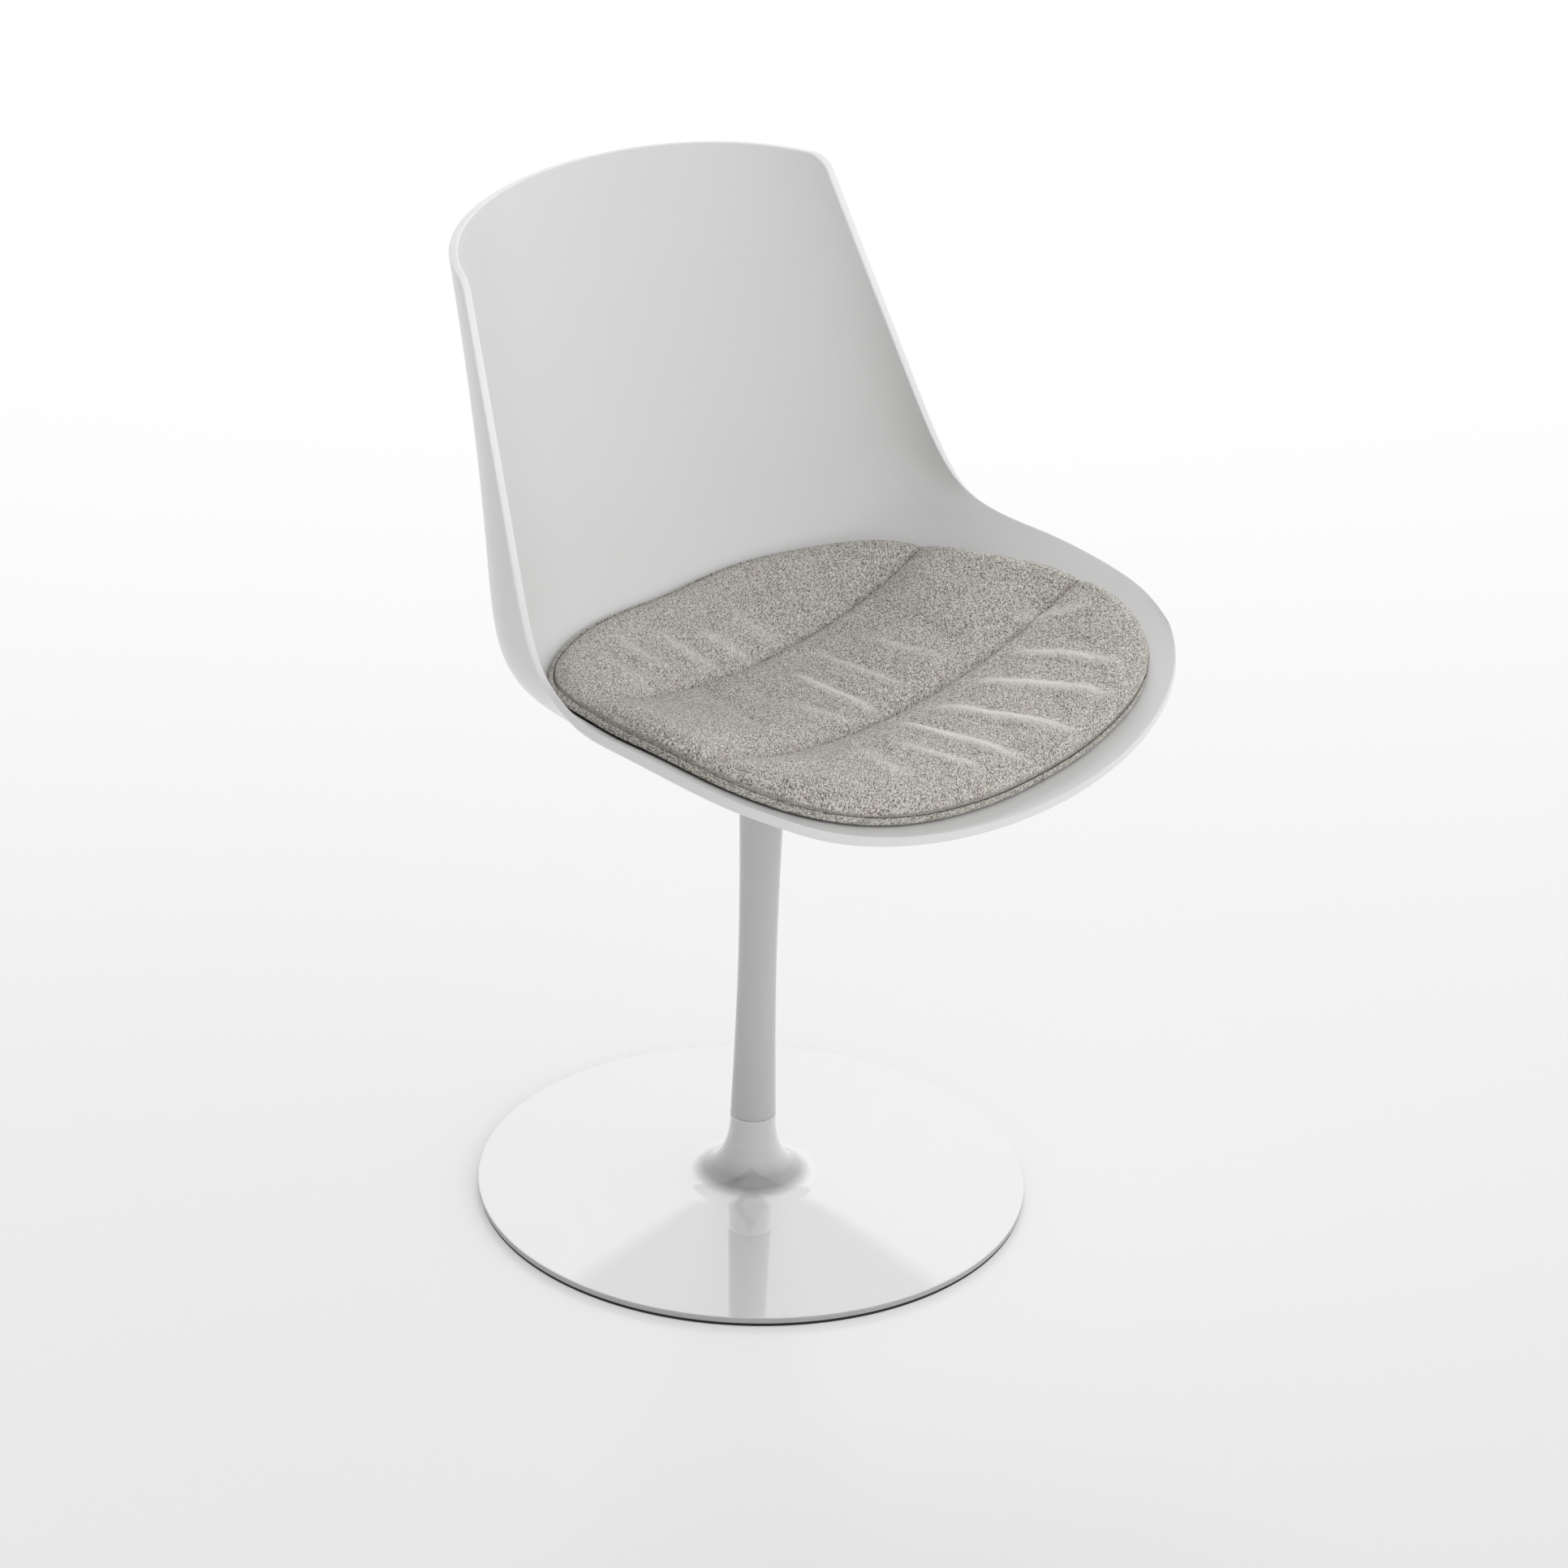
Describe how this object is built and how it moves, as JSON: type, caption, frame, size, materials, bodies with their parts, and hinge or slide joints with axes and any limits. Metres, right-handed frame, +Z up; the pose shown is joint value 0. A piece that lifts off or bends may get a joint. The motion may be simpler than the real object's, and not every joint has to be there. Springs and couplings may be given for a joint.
{
  "type": "pedestal swivel chair",
  "caption": "White moulded shell chair with a wrap-round back and a quilted grey seat cushion, turning on a slim trumpet column over a round floor plate.",
  "frame": {"origin": "centre of the floor pad's underside, on the floor and on the column's axis", "axes": "+Z up along the column, the seat faces -Y, X runs across the seat"},
  "size_m": [0.5526, 0.5094, 0.8166],
  "materials": {
    "shell": "satin white moulding",
    "lacquer": "high-gloss white lacquer",
    "column_coat": "satin white",
    "steel": "zinc plated",
    "brass": "plain",
    "bush": "plain acetal",
    "rubber": "matt",
    "hook_tape": "plain tape and base cloth",
    "upholstery": "coarse grey-beige flecked weave"
  },
  "bodies": {
    "base": {"floor_pad": "rubber", "base_plate": "steel", "base_cover": "lacquer", "spindle": "steel", "spindle_screw_1": "steel", "spindle_screw_2": "steel", "spindle_screw_3": "steel", "spindle_screw_4": "steel", "thrust_washer": "brass", "retaining_washer": "steel", "retaining_screw": "steel"},
    "seat": {"lower_bush": "bush", "upper_bush": "bush", "column": "column_coat", "seat_plate": "steel", "column_screw_1": "steel", "column_screw_2": "steel", "column_screw_3": "steel", "column_screw_4": "steel", "seat_screw_front_left": "steel", "seat_screw_front_right": "steel", "seat_screw_back_right": "steel", "seat_screw_back_left": "steel", "thread_insert_front_left": "brass", "thread_insert_front_right": "brass", "thread_insert_back_right": "brass", "thread_insert_back_left": "brass", "seat_shell": "shell", "hook_patch_front_left": "hook_tape", "hook_patch_front_right": "hook_tape", "hook_patch_back_left": "hook_tape", "hook_patch_back_right": "hook_tape", "cushion_underlay": "hook_tape", "cushion_pad": "upholstery", "cushion_band": "upholstery"}
  },
  "joints": [
    {"name": "swivel", "type": "hinge", "parent": "base", "child": "seat", "pos_m": [0, 0, 0], "axis": [0, 0, 1], "continuous": true}
  ]
}
